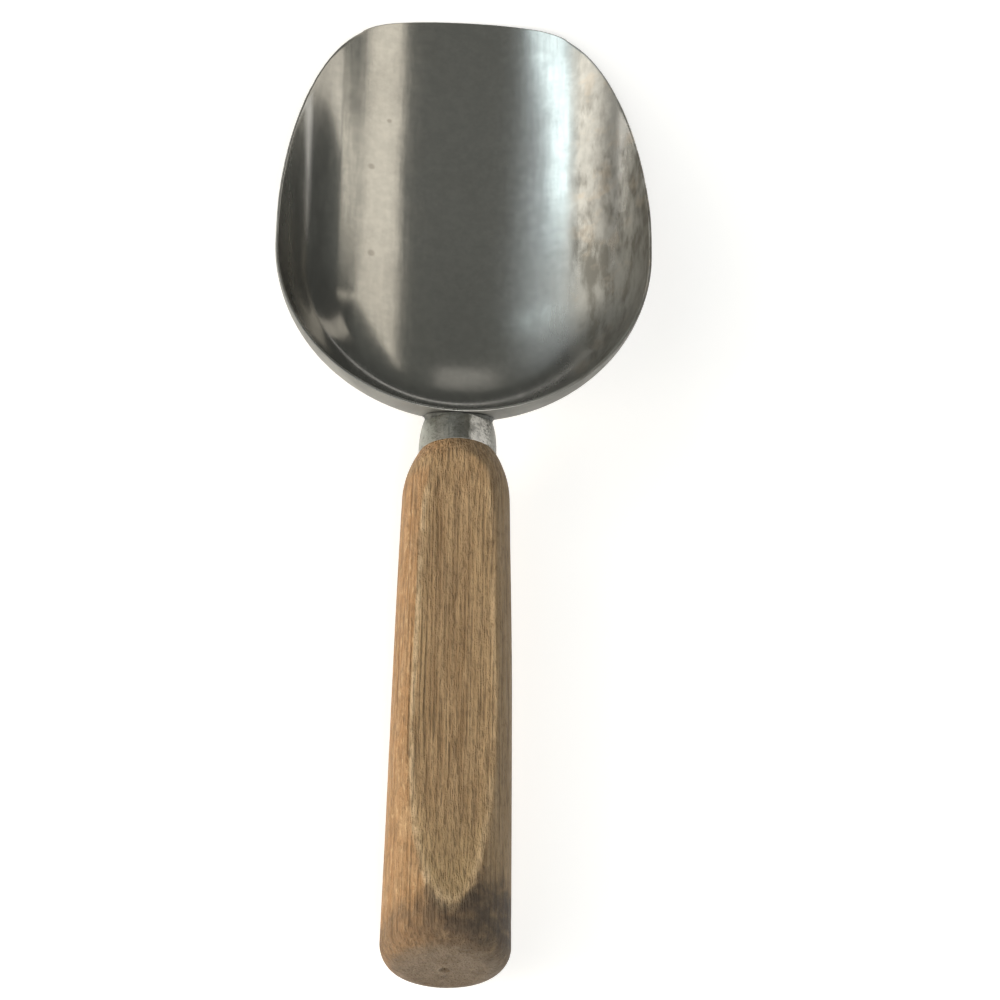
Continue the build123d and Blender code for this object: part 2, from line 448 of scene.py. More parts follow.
def flat_height(a):
    """Height of the milled flat over the axis, with its run-outs."""
    a = np.asarray(a, float)
    front = FLAT_HEIGHT + RUN_FRONT - np.sqrt(np.clip(RUN_FRONT**2 - (FLAT_START - a) ** 2, 0, None))
    butt = FLAT_HEIGHT + RUN_BUTT - np.sqrt(np.clip(RUN_BUTT**2 - (a - FLAT_END) ** 2, 0, None))
    return np.select([a < FLAT_START, a > FLAT_END], [front, butt], 0 * a + FLAT_HEIGHT)


def soft_min(p, q, size):
    """The smaller of two, with the corner between them worn to a radius."""
    share = np.clip(0.5 + 0.5 * (q - p) / size, 0, 1)
    return q * (1 - share) + p * share - size * share * (1 - share)


def grip_ring(a, radius, height, quarter):
    """Ring of points of the turned wood between its two flats, closer together at the flats' edges."""
    least_border, crowding, least_cosine = 0.10, 1.6, 1e-3
    border = max(math.acos(min(height / radius, 1.0)), least_border)
    first = quarter // 2
    t = np.linspace(0, 1, first + 1)[:-1]
    u = np.linspace(0, 1, quarter - first + 1)[:-1]
    part = np.r_[border * (1 - (1 - t) ** crowding), border + (math.pi / 2 - border) * u**crowding]
    upper = np.r_[part, [math.pi / 2], math.pi - part[::-1]][:-1]
    angles = np.r_[upper, math.pi + upper]
    flat = height / np.maximum(np.abs(np.cos(angles)), least_cosine)
    r = soft_min(np.full(len(angles), radius), flat, HANDLE_CORNER)
    return np.c_[r * np.sin(angles), np.full(len(angles), -BACK - a), -AXIS_DROP + r * np.cos(angles)]


def worn_grip(surface):
    """Pores and worn hollows, which follow the grain along the handle, and a few dents above."""
    pore_depth, worn_depth, free_stretch = 0.035, 0.09, 3
    pore_drawn, worn_drawn = [1, 0.045, 1], [1, 0.3, 1]
    # dents are x, place along the handle, size across and along, and depth
    dents = [(-9, 98, 2.2, 5, 0.28), (8, 70, 1.8, 3.5, 0.20), (2, 112, 4, 4, 0.22)]
    dents += [(-6, 40, 1.5, 4, 0.12), (10, 120, 3, 3, 0.25)]
    outward, _ = off_axis(surface)
    pores = np.clip(wave(surface * pore_drawn, length=1.7, seed=31, octaves=4), 0, 1)
    shift = -pore_depth * pores
    shift -= worn_depth * (1 + wave(surface * worn_drawn, length=16, seed=32, octaves=2))
    for x, a, size_x, size_a, depth in dents:
        shift -= depth * hollow(surface, x, -BACK - a, size_x, size_a) * (surface[:, 2] > -AXIS_DROP)
    free = np.clip((-BACK - surface[:, 1] - HANDLE_START) / free_stretch, 0, 1)
    return surface + outward * (shift * free)[:, None]


def end_rings(edge, centre):
    """Rings of the end face, with the lathe tool's marks and the mark of its centre."""
    sunk, tool_mark, tool_turns, burr, steps = 0.05, 0.03, 9, 0.5, 40
    rings = []
    for share in np.linspace(1, 0, steps)[1:-1]:
        radius = share * (BUTT_R - BUTT_ROUND)
        depth = tool_mark * math.sin(radius * tool_turns) + sunk
        if radius < MARK_R:
            depth = MARK_DEPTH * (1 - radius / MARK_R) + sunk
        elif radius < MARK_R + burr:
            depth = 0.0
        ring = centre + (edge - centre) * [share, 1, share]
        ring[:, 1] = centre[1] + depth
        rings.append(ring)
    return rings, centre + [0, MARK_DEPTH + sunk, 0]


def hidden_rings(angles):
    """Rings of the bore and of the tenon, from the bore's tip to the shoulder."""
    tenon_r = FERRULE_R - FERRULE_SHEET - INSIDE
    share = (TENON_LENGTH - FERRULE_STRAIGHT) / (FERRULE_DOME - FERRULE_SHEET)
    dome = (FERRULE_R - FERRULE_SHEET - FERRULE_NOSE) * math.sqrt(1 - share**2)
    tip_r = FERRULE_NOSE + dome - TENON_PLAY
    tenon_end = HANDLE_START - TENON_LENGTH
    bore_end = TANG_END + BORE_SPARE
    bore_r = TANG_R + INSIDE
    outline = [(bore_end, TANG_TIP_R), (bore_end - TANG_POINT, bore_r), (tenon_end, bore_r)]
    outline += [(tenon_end, tip_r), (HANDLE_START - FERRULE_STRAIGHT, tenon_r), (HANDLE_START, tenon_r)]
    rings = []
    for a, r in outline:
        y = np.full(len(angles), -BACK - a)
        rings.append(np.c_[r * np.sin(angles), y, -AXIS_DROP + r * np.cos(angles)])
    return rings, [0, -BACK - bore_end, -AXIS_DROP]


def build_handle():
    quarter, shoulder_rings, grip_rings, butt_rings = 56, 40, 300, 26
    crowding, end_gap = 1.4, 1e-4
    shoulder_share = np.linspace(0, 1, shoulder_rings) ** crowding
    shoulder = HANDLE_START + (SHOULDER_END - HANDLE_START) * shoulder_share
    grip = np.linspace(SHOULDER_END, HANDLE_END - BUTT_ROUND, grip_rings)[1:]
    turn = np.linspace(0, 1, butt_rings)[1:] * math.pi / 2
    butt = HANDLE_END - BUTT_ROUND + BUTT_ROUND * np.sin(turn)
    butt[-1] = HANDLE_END - end_gap
    places = np.r_[shoulder, grip, butt]
    sizes = zip(places, handle_radius(places), flat_height(places))
    rings = [grip_ring(a, radius, height, quarter) for a, radius, height in sizes]
    around = len(rings[0])
    surface = worn_grip(np.vstack(rings))
    rows = [surface[k * around:(k + 1) * around] for k in range(len(rings))]
    end_face, end_tip = end_rings(rows[-1], np.array([0, -BACK - HANDLE_END, -AXIS_DROP]))
    angles = np.arctan2(rows[0][:, 0], rows[0][:, 2] + AXIS_DROP)
    hidden, bore_tip = hidden_rings(angles)
    rows = hidden + rows + end_face
    points = np.vstack(rows + [end_tip, bore_tip])
    faces = ring_faces(len(rows), around, flip=True)
    last = (len(rows) - 1) * around
    pole = len(rows) * around
    for i in range(around):
        j = (i + 1) % around
        faces.append((last + j, last + i, pole))
        faces.append((i, j, pole + 1))
    return mesh_piece("handle_wood", points, faces)


# Braze between the ferrule and the bowl

def build_braze():
    around, across = 220, 9
    lumpy, grainy = 0.22, 0.1
    thin, fade, least_reach, top = 0.12, 1.6, 0.1, -0.05
    hollowed, sunk_in, sunk_out, tuck, tuck_in = 0.22, 0.15, 0.1, 0.3, 0.12
    angles = [2 * math.pi * k / around for k in range(around)]
    met = [seam(angle) for angle in angles]
    seam_points = np.array([on_axis(*bell_profile(t), angle) for t, angle in zip(met, angles)])
    lumps = 1 + lumpy * wave(seam_points, length=5, seed=41)
    lumps += grainy * wave(seam_points, length=1.6, seed=42)
    under = -JOINT_BELOW_RIM - seam_points[:, 2]
    size = BRAZE_SIZE * lumps * np.clip(thin + under / fade, thin, 1)
    rings = []
    for t, angle, p, reach in zip(met, angles, seam_points, np.maximum(size, least_reach)):
        on_ferrule = on_axis(*bell_profile(max(t - reach, 0)), angle)
        # along the bowl's outer skin, away from the handle's axis
        outward = np.array([math.sin(angle), 0, math.cos(angle)])
        on_bowl = p + outward * reach
        on_bowl[2] = min(on_bowl[2], top)
        on_bowl[1] = -math.sqrt(max(outer_radius(on_bowl[2]) ** 2 - on_bowl[0] ** 2, 0))
        sunk = p + (p * [1, 1, 0]) / np.linalg.norm(p[:2]) * -sunk_in + outward * -sunk_out
        soft = p + ((on_ferrule - p) + (on_bowl - p)) * hollowed
        for u in np.linspace(0, 1, across):
            rings.append((1 - u) ** 2 * on_ferrule + 2 * u * (1 - u) * soft + u**2 * on_bowl)
        rings.append(on_bowl + (sunk - on_bowl) * tuck + [0, tuck_in, 0])
        rings.append(sunk)
    width = across + 2
    faces = []
    for k in range(around):
        low, high = k * width, (k + 1) % around * width
        for i in range(width):
            j = (i + 1) % width
            faces.append((low + i, high + i, high + j, low + j))
    return mesh_piece("braze", np.array(rings), faces)


# Materials

class Net:
    """Short names for the few nodes that the materials and the sky use."""

    def __init__(self, tree, place="Object"):
        self.tree = tree
        coordinates = self.node("TexCoord")
        self.place = coordinates.outputs[place]
        self.normal = coordinates.outputs["Normal"]
        parts = self.node("SeparateXYZ")
        self.feed(parts.inputs["Vector"], self.place)
        self.x, self.y, self.z = parts.outputs

    def node(self, kind):
        return self.tree.nodes.new("ShaderNode" + kind)

    def feed(self, socket, value):
        """Links a node's output to a socket, or sets the socket to a number, vector or colour."""
        if isinstance(value, bpy.types.NodeSocket):
            self.tree.links.new(value, socket)
        elif socket.type == "RGBA":
            socket.default_value = (*value, 1.0)
        else:
            socket.default_value = value

    def set(self, node, **values):
        """Feeds a node's sockets by name."""
        for name, value in values.items():
            self.feed(node.inputs[name.replace("_", " ")], value)
        return node.outputs

    def vector(self, operation, a, b):
        node = self.node("VectorMath")
        node.operation = operation
        self.feed(node.inputs[0], a)
        self.feed(node.inputs[1], b)
        return node.outputs

    def noise(self, scale, detail=4, rough=0.55, twist=0.0, drawn=1.0):
        """Noise of about 0 to 1; a small value of drawn stretches it along the scoop."""
        place = self.place
        if drawn != 1.0:
            place = self.vector("MULTIPLY", self.place, (1, drawn, 1))["Vector"]
        node = self.node("TexNoise")
        self.set(node, Vector=place, Scale=scale, Detail=detail, Roughness=rough, Distortion=twist)
        return node.outputs["Fac"]

    def range(self, value, low, high, to_low=0.0, to_high=1.0, smooth=True):
        """Change from one number to another while a value goes from low to high, then level."""
        node = self.node("MapRange")
        node.interpolation_type = "SMOOTHSTEP" if smooth else "LINEAR"
        self.set(node, Value=value, From_Min=low, From_Max=high, To_Min=to_low, To_Max=to_high)
        return node.outputs["Result"]

    def math(self, operation, *values):
        """Joins numbers and outputs by an operation, from the first to the last."""
        total = values[0]
        for value in values[1:]:
            node = self.node("Math")
            node.operation = operation
            self.feed(node.inputs[0], total)
            self.feed(node.inputs[1], value)
            total = node.outputs["Value"]
        return total

    def times(self, *values):
        return self.math("MULTIPLY", *values)

    def plus(self, *values):
        return self.math("ADD", *values)

    def minus(self, a, b):
        return self.math("SUBTRACT", a, b)

    def mix(self, factor, a, b):
        """Colour that goes from a to b as the factor goes from 0 to 1."""
        node = self.node("Mix")
        node.data_type = "RGBA"
        self.feed(node.inputs["Factor"], factor)
        for socket, value in zip([s for s in node.inputs if s.type == "RGBA"], (a, b)):
            self.feed(socket, value)
        return next(s for s in node.outputs if s.type == "RGBA")

    def lay(self, colour, tone, mask, amount):
        """Lays a tone over a colour where a mask is 1, as thickly as the amount says."""
        return self.mix(self.times(mask, amount), colour, tone)

    def bump(self, height, strength, distance):
        node = self.node("Bump")
        return self.set(node, Height=height, Strength=strength, Distance=distance)["Normal"]


def material(name):
    """A new material, its nodes and its shader."""
    made = bpy.data.materials.new(name)
    made.use_nodes = True
    net = Net(made.node_tree)
    return made, net, made.node_tree.nodes["Principled BSDF"]


# Places on the bowl, in metres, as where a change starts and where it is full
RIGHT_SIDE = (0.0235, 0.0270)
STAINS_RUN = (0.112, 0.085)
STAINS_SPREAD = (0.112, 0.030)
GREYED_BACK = (0.075, 0.028)
# the next three lines place the painted shade and dark reflection round the bowl's corner
CORNER_RISES = (0.052, 0.042)
CORNER_LOW, CORNER_HIGH = (0.0050, 0.0085), (0.021, 0.014)
CORNER_DARKER_BACK = (0.110, 0.060)
TARNISHED_LEFT, TARNISHED_BACK = (-0.0222, -0.0252), (0.060, 0.038)
WALL = (0.007, 0.018)
RUBBED_RIGHT, RUBBED_BACK = (-0.002, 0.022), (0.076, 0.038)
OVER_TROUGH = (0, BOWL_Y * MM + 0.02, 0.055)
# Small dark pits: where, and how wide
PITS = [((-0.0207, 0.0798, 0.0037), 0.0011), ((-0.0201, 0.0566, 0.0035), 0.0012),
        ((-0.0170, 0.0930, 0.0027), 0.0008)]

# Tones of the bowl
CLEAN = [(0.585, 0.58, 0.555), (0.655, 0.645, 0.615)]
CLOUDED, STAINED, WARMED = (0.40, 0.385, 0.35), (0.245, 0.232, 0.205), (0.62, 0.53, 0.43)
# the second tone here is painted shade and dark reflection, for the bowl's corner
GREYED, PAINTED_CORNER_SHADE, TARNISHED = (0.33, 0.325, 0.30), (0.200, 0.197, 0.188), (0.180, 0.177, 0.168)
PITTED = (0.24, 0.22, 0.19)
MATTE = [(0.27, 0.267, 0.250), (0.37, 0.365, 0.34)]


def bowl_steel():
    made, net, shader = material("bowl_steel")
    cloud = net.noise(scale=60, detail=5, rough=0.6, twist=0.4)
    fine = net.noise(scale=420, detail=4, rough=0.65)
    streak = net.noise(scale=900, detail=3, rough=0.6, drawn=0.12)
    run = net.noise(scale=330, detail=5, rough=0.60, twist=0.15, drawn=0.34)
    big_run = net.noise(scale=110, detail=3, rough=0.6, twist=0.2, drawn=0.55)
    # handled and washed for years: stains run down the right side and fade the steel towards the back
    right = net.range(net.x, *RIGHT_SIDE)
    runs = net.times(net.range(run, 0.34, 0.66), net.range(big_run, 0.30, 0.62))
    runs = net.times(runs, net.range(net.y, *STAINS_RUN, 0.45, 1.1))
    spread = net.times(net.range(net.y, *STAINS_SPREAD, smooth=False), 0.46)
    stains = net.times(net.plus(runs, spread), right)
    colour = net.mix(net.range(fine, 0.3, 0.7), *CLEAN)
    colour = net.lay(colour, CLOUDED, net.range(cloud, 0.46, 0.66), 0.16)
    colour = net.lay(colour, STAINED, stains, 0.85)
    warm = net.times(net.range(net.noise(scale=150, detail=3, rough=0.6), 0.52, 0.66), right)
    colour = net.lay(colour, WARMED, warm, 0.35)
    colour = net.mix(net.range(net.y, *GREYED_BACK, 0.0, 0.34), colour, GREYED)
    # painted shade and dark reflection: the steel is darkened round the corner of the bowl, most towards
    # the back, except on the right
    raised = net.plus(net.z, net.range(net.y, *CORNER_RISES, 0.0, 0.0014))
    corner = net.times(net.range(raised, *CORNER_LOW), net.range(net.z, *CORNER_HIGH))
    corner = net.times(corner, net.range(net.y, *CORNER_DARKER_BACK, 0.60, 1.0))
    corner = net.times(corner, net.range(run, 0.25, 0.60, 0.72, 1.0))
    corner = net.times(corner, net.minus(1.0, net.times(right, 0.95)))
    colour = net.lay(colour, PAINTED_CORNER_SHADE, corner, 0.72)
    aside = net.plus(net.x, net.times(net.minus(cloud, 0.5), 0.006))
    tarnish = net.times(net.range(aside, *TARNISHED_LEFT), net.range(net.y, *TARNISHED_BACK))
    colour = net.lay(colour, TARNISHED, tarnish, 0.50)
    for place, size in PITS:
        near = net.vector("DISTANCE", net.place, place)["Value"]
        colour = net.lay(colour, PITTED, net.range(near, size, size * 0.35), 0.45)
    # the outside, where the skin faces away from a point over the trough, never was polished
    away = net.vector("SUBTRACT", net.place, OVER_TROUGH)["Vector"]
    outside = net.range(net.vector("DOT_PRODUCT", away, net.normal)["Value"], 0.004, 0.012)
    matte = net.mix(net.range(cloud, 0.35, 0.65), *MATTE)
    colour = net.mix(outside, colour, matte)
    rubbed = net.times(net.range(net.x, *RUBBED_RIGHT), net.range(net.y, *RUBBED_BACK))
    rough = net.plus(
        net.range(cloud, 0.35, 0.7, 0.0, 0.03),
        net.range(streak, 0.3, 0.7, 0.10, 0.135),
        net.range(net.z, *WALL, 0.0, 0.16),
        net.times(stains, 0.08),
        net.times(rubbed, 0.13),
        net.times(outside, 0.30),
    )
    height = net.plus(net.times(streak, 0.6), net.times(fine, 0.5))
    normal = net.bump(height, strength=0.025, distance=0.0002)
    net.set(shader, Base_Color=colour, Roughness=rough, Metallic=1.0, Normal=normal)
    return made


# Places on the ferrule, in metres from the middle
# places of a painted reflection, a lighter greenish band on the left of the ferrule, and of a painted
# highlight, a bright band on its right
GREEN_REFLECTION_BAND = (-0.0045, -0.0060)
HIGHLIGHT_FROM, HIGHLIGHT_TO = (0.0019, 0.0027), (0.0070, 0.0050)


# Tones of the ferrule, the braze and the tang
# the greenish tone is a painted reflection, and the bright tone on the next line is a painted highlight
WORN_STEEL, GREEN_REFLECTION = [(0.235, 0.232, 0.21), (0.345, 0.338, 0.305)], (0.42, 0.43, 0.385)
PAINTED_HIGHLIGHT, SPECKLED = (1.0, 0.97, 0.92), (0.12, 0.115, 0.10)
BRAZE = [(0.050, 0.052, 0.048), (0.165, 0.168, 0.155)]
DRAWN_STEEL = [(0.36, 0.35, 0.34), (0.52, 0.51, 0.49)]


def ferrule_steel():
    made, net, shader = material("ferrule_steel")
    cloud = net.noise(scale=260, detail=5, rough=0.65, twist=0.6)
    fine = net.noise(scale=1500, detail=4, rough=0.7)
    streak = net.noise(scale=1500, detail=3, rough=0.6, drawn=0.08)
    wander = net.plus(net.x, net.times(net.minus(fine, 0.5), 0.004))
    colour = net.mix(net.range(cloud, 0.35, 0.65), *WORN_STEEL)
    # painted reflection: a lighter greenish band down the left
    colour = net.lay(colour, GREEN_REFLECTION, net.range(wander, *GREEN_REFLECTION_BAND), 0.7)
    # painted highlight: a bright, less metallic band down the right, broken up by the cloud
    highlight_band = net.times(net.range(wander, *HIGHLIGHT_FROM), net.range(wander, *HIGHLIGHT_TO))
    wear_and_painted_highlight = net.times(highlight_band, net.range(cloud, 0.33, 0.56, 0.45, 1.0))
    colour = net.mix(wear_and_painted_highlight, colour, PAINTED_HIGHLIGHT)
    colour = net.lay(colour, SPECKLED, net.range(fine, 0.48, 0.70), 0.55)
    rough = net.plus(net.range(cloud, 0.3, 0.7, 0.30, 0.46), net.range(fine, 0.3, 0.7, 0.0, 0.1))
    metallic = net.range(wear_and_painted_highlight, 0.0, 1.0, 1.0, 0.35)
    normal = net.bump(net.plus(fine, streak), strength=0.4, distance=0.0003)
    net.set(shader, Base_Color=colour, Roughness=rough, Metallic=metallic, Normal=normal)
    return made


def joint_metal():
    made, net, shader = material("joint_metal")
    cloud = net.noise(scale=500, detail=5, rough=0.65)
    colour = net.mix(net.range(cloud, 0.35, 0.65), *BRAZE)
    rough = net.range(cloud, 0.3, 0.7, 0.4, 0.65)
    normal = net.bump(cloud, strength=0.5, distance=0.0003)
    net.set(shader, Base_Color=colour, Roughness=rough, Metallic=0.8, Normal=normal)
    return made


def tang_steel():
    made, net, shader = material("tang_steel")
    drawn = net.noise(scale=1200, detail=3, rough=0.6, drawn=0.05)
    colour = net.mix(net.range(drawn, 0.3, 0.7), *DRAWN_STEEL)
    rough = net.range(drawn, 0.3, 0.7, 0.3, 0.45)
    normal = net.bump(drawn, strength=0.2, distance=0.0002)
    net.set(shader, Base_Color=colour, Roughness=rough, Metallic=1.0, Normal=normal)
    return made


# Places on the handle, in metres, as where a change starts and where it is full
GRIP_FRONT_Y = (BOWL_Y - BACK - SHOULDER_END) * MM
GRIP_BUTT_Y = (BOWL_Y - BACK - HANDLE_END + BUTT_ROUND) * MM
BEFORE_BUTT = (GRIP_BUTT_Y, GRIP_BUTT_Y + 0.001)
FLAT_FRONT = (GRIP_FRONT_Y + 0.010, GRIP_FRONT_Y + 0.004)
RIDGE_FRONT = (GRIP_FRONT_Y, GRIP_FRONT_Y - 0.004)
SWELL = 0.0001             # how far the bowed grip stands over its taper
FLAT_CUT = (0.0003, 0.0009)
RIDGE_FROM, RIDGE_TO = (0.00020, 0.00045), (0.0013, 0.0007)
# the flats' edges are pale with wear and carry a painted highlight, strongest on the left
RIDGE_HIGHLIGHT_LEFT = (0.002, -0.002)
# painted light on the handle's sides: orange and more pale crumbs on the left, yellower on the right
ORANGE_LIGHT_LEFT, PALE_LIGHT_LEFT, YELLOW_LIGHT_RIGHT = (0.0, -0.009), (-0.002, -0.009), (0.002, 0.010)
# where the painted light on the flat's run-out fades in
RUN_OUT = (-0.085, -0.108)
DIRT_EDGE, DIRT_LEANS = (-0.1055, -0.1125), (-0.010, 0.010)
DIRT_RIGHT, DIRT_END = (-0.009, 0.001), (-0.1235, -0.117)
END_FACE = (-0.1212, -0.1222)
MARK_EDGE = (0.0016, 0.0008)


# Tones of the wood
TURNED = [(0.325, 0.205, 0.108), (0.460, 0.310, 0.178)]
MILLED = [(0.315, 0.205, 0.109), (0.475, 0.327, 0.186)]
# the orange and yellow tones are painted light on the handle's sides
ORANGE_LIGHT, YELLOW_LIGHT, PALE_CRUMBS = (0.47, 0.262, 0.120), (0.46, 0.345, 0.205), (0.66, 0.47, 0.28)
# the run-out tone is painted light, and the ridge tone after it is worn wood with a painted highlight
BANDED, RUN_OUT_LIGHT, RIDGE_WEAR_AND_HIGHLIGHT = (0.510, 0.362, 0.205), (0.500, 0.372, 0.200), (0.72, 0.54, 0.34)
GROOVED, CRUMBLED, BLOTCHED = (0.135, 0.085, 0.046), (0.165, 0.108, 0.060), (0.19, 0.125, 0.075)
SOOTED, MARKED = (0.066, 0.052, 0.042), (0.10, 0.07, 0.045)
END_WOOD = [(0.165, 0.120, 0.080), (0.255, 0.200, 0.142)]


def handle_wood():
    made, net, shader = material("handle_wood")
    fine = net.noise(scale=900, detail=5, rough=0.62, twist=0.2, drawn=0.08)
    groove = net.noise(scale=1500, detail=3, rough=0.55, drawn=0.018)
    crumbs = net.noise(scale=1050, detail=5, rough=0.66, twist=0.2, drawn=0.36)
    bands = net.noise(scale=420, detail=2, rough=0.5, drawn=0.014)
    blotch = net.noise(scale=75, detail=4, rough=0.6, twist=0.5, drawn=0.45)
    patches = net.noise(scale=260, detail=4, rough=0.6, twist=0.6, drawn=0.6)
    # how deep the flats cut into the turned shape, and the raised edge that they leave
    up = net.minus(net.z, (RIM_Z - AXIS_DROP) * MM)
    radius = net.math("POWER", net.plus(net.times(net.x, net.x), net.times(up, up)), 0.5)
    taper = (SHOULDER_R * MM + SWELL, BUTT_R * MM)
    turned = net.range(net.y, GRIP_FRONT_Y, GRIP_BUTT_Y, *taper, smooth=False)
    cut = net.minus(turned, radius)
    before_butt = net.range(net.y, *BEFORE_BUTT)
    flat = net.times(net.range(cut, *FLAT_CUT), net.range(net.y, *FLAT_FRONT), before_butt)
    ridge = net.times(net.range(cut, *RIDGE_FROM), net.range(cut, *RIDGE_TO))
    ridge = net.times(ridge, net.range(net.y, *RIDGE_FRONT), before_butt)
    ridge = net.times(ridge, net.range(net.x, *RIDGE_HIGHLIGHT_LEFT, 0.45, 1.0))
    # turned wood, with painted light on its sides: orange on the left and yellower on the right
    colour = net.mix(net.range(fine, 0.34, 0.66), *TURNED)
    orange_light = net.times(net.range(net.x, *ORANGE_LIGHT_LEFT), net.range(patches, 0.34, 0.64, 0.25, 0.80))
    colour = net.lay(colour, ORANGE_LIGHT, orange_light, 0.70)
    colour = net.lay(colour, YELLOW_LIGHT, net.range(net.x, *YELLOW_LIGHT_RIGHT), 0.45)
    # the pale crumbs are the wood's own; their extra weight on the left is painted light
    pale = net.times(net.range(crumbs, 0.46, 0.34), net.range(net.x, *PALE_LIGHT_LEFT, 0.35, 1.0))
    colour = net.lay(colour, PALE_CRUMBS, pale, 0.55)
    # milled wood of the flats, with painted light where they run out towards the butt
    on_flat = net.mix(net.range(fine, 0.34, 0.66), *MILLED)
    on_flat = net.lay(on_flat, BANDED, net.range(bands, 0.42, 0.60), 0.35)
    on_flat = net.lay(on_flat, RUN_OUT_LIGHT, net.range(net.y, *RUN_OUT), 0.45)
    colour = net.mix(flat, colour, on_flat)
    # worn, pale edges of the flats, with a painted highlight that is strongest on the left
    colour = net.lay(colour, RIDGE_WEAR_AND_HIGHLIGHT, ridge, net.range(patches, 0.34, 0.56, 0.30, 0.90))
    # grooves, crumbs and blotches go over both
    colour = net.lay(colour, GROOVED, net.range(groove, 0.54, 0.64), 0.48)
    colour = net.lay(colour, CRUMBLED, net.range(crumbs, 0.50, 0.66), 0.46)
    colour = net.lay(colour, BLOTCHED, net.range(blotch, 0.5, 0.75), 0.28)
    # the butt is dark with use, most of all on the right and just past the flat
    wobble = net.times(net.minus(patches, 0.5), 0.016)
    sooner = net.range(net.x, *DIRT_LEANS, 0.004, -0.003, smooth=False)
    butt = net.range(net.plus(net.y, wobble, sooner), *DIRT_EDGE)
    butt = net.times(butt, net.range(flat, 0.0, 1.0, 1.0, 0.12))
    soot = net.range(net.noise(scale=330, detail=4, rough=0.65), 0.25, 0.6, 0.6, 1.0)
    darker = net.times(net.range(net.x, *DIRT_RIGHT, 0.62, 1.0), net.range(net.y, *DIRT_END, 0.72, 1.0))
    colour = net.lay(colour, SOOTED, net.times(butt, soot, darker), 0.88)
    end = net.range(net.y, *END_FACE)
    end_tone = net.mix(net.range(patches, 0.35, 0.65), *END_WOOD)
    colour = net.lay(colour, end_tone, end, 0.8)
    mark = net.times(end, net.range(radius, *MARK_EDGE))
    colour = net.lay(colour, MARKED, mark, 0.6)
    rough = net.range(fine, 0.3, 0.7, 0.66, 0.52)
    height = net.minus(net.minus(net.times(fine, 0.5), groove), net.times(crumbs, 0.9))
    normal = net.bump(height, strength=1.0, distance=0.0013)
    net.set(shader, Base_Color=colour, Roughness=rough, Specular_IOR_Level=0.3, Normal=normal)
    return made


brazed = joint_metal()
pieces = [
    (build_bowl(), "scoop_bowl", "bowl_steel", bowl_steel()),
    (build_ferrule(), "ferrule", "ferrule_steel", ferrule_steel()),
    (build_handle(), "handle", "handle_wood", handle_wood()),
    (build_braze(), "braze_fillet", "joint_metal", brazed),
]
for piece, node, slot, finish in pieces:
    piece.data.materials.append(finish)
    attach(piece, "root")
    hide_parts(node)
for node, finish in (("tang", tang_steel()), ("tang_weld", brazed)):
    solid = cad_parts[node]
    solid.data.materials.clear()
    solid.data.materials.append(finish)


# Floor, white to the camera and in the metal, with the scoop's shadow

FLOOR_HALF, FLOOR_GAP, FLOOR_GLOW = 8.0, 0.0002, 0.50
FLOOR_TONE = (0.86, 0.86, 0.86)


def flat_shape(name, corners):
    """An object with one flat face, in metres."""
    mesh = bpy.data.meshes.new(name)
    mesh.from_pydata(corners, [], [tuple(range(len(corners)))])
    shape = bpy.data.objects.new(name, mesh)
    bpy.context.scene.collection.objects.link(shape)
    return shape


def rays_seen(net):
    """1 for what the camera sees, straight, in a reflection or through glass."""
    path = net.node("LightPath")
    rays = [path.outputs[name] for name in ("Is Camera Ray", "Is Glossy Ray", "Is Transmission Ray")]
    return net.math("MAXIMUM", *rays)


def build_floor():
    size = FLOOR_HALF
    corners = [(-size, -size), (size, -size), (size, size), (-size, size)]
    floor = flat_shape("floor", [(x, y, -FLOOR_GAP) for x, y in corners])
    made, net, shader = material("floor")
    net.set(shader, Base_Color=FLOOR_TONE, Roughness=0.9, Specular_IOR_Level=0.1)
    glow = net.node("Emission")
    net.set(glow, Strength=net.times(rays_seen(net), FLOOR_GLOW))
    both = net.node("AddShader")
    net.feed(both.inputs[0], shader.outputs[0])
    net.feed(both.inputs[1], glow.outputs[0])
    net.feed(net.tree.nodes["Material Output"].inputs["Surface"], both.outputs[0])
    floor.data.materials.append(made)
    return floor


floor = build_floor()


# Room round the table: dark overhead, pale at the sides, with light at the left and low in front

BASE_LIGHT = (0.150, 0.153, 0.141)
SIDE_TONES = [(0.62, 0.605, 0.57), (0.36, 0.35, 0.33)]
LEFT_TONES = [(0.42, 0.41, 0.375), (1.60, 1.54, 1.39)]
LOW_PATCH, HALO = (0.42, 0.41, 0.38), (0.43, 0.465, 0.48)
# where the patches fade, as parts of the direction towards +X, +Y and +Z
SIDES_Y, SIDES_Z, MIDDLE_X = (0.42, 0.26), (0.62, 0.30), (-0.2, 0.2)
HALO_X, HALO_Z = (-0.14, -0.34), (0.30, 0.60)
LEFT_X, LEFT_Y, LEFT_Z, LEFT_FALL = (-0.415, -0.455), (0.66, 0.56), (0.76, 0.70), (0.15, 0.66)
# the low patch's sides: two directions on each and one inside it, as azimuth and height in degrees
LOW_PATCH_SIDES = [((-7, 20), (-7, 40), (3, 30)), ((7, 20), (7, 40), (3, 30)),
                   ((-10, 32), (12, 32), (3, 20)), ((-10, 23), (12, 23), (3, 30))]
LOW_PATCH_BLUR = 3


def toward(azimuth, height):
    """Direction from the table: azimuth from +Y towards +X, and height over the horizon, in degrees."""
    a, h = math.radians(azimuth), math.radians(height)
    return np.array([math.sin(a) * math.cos(h), math.cos(a) * math.cos(h), math.sin(h)])


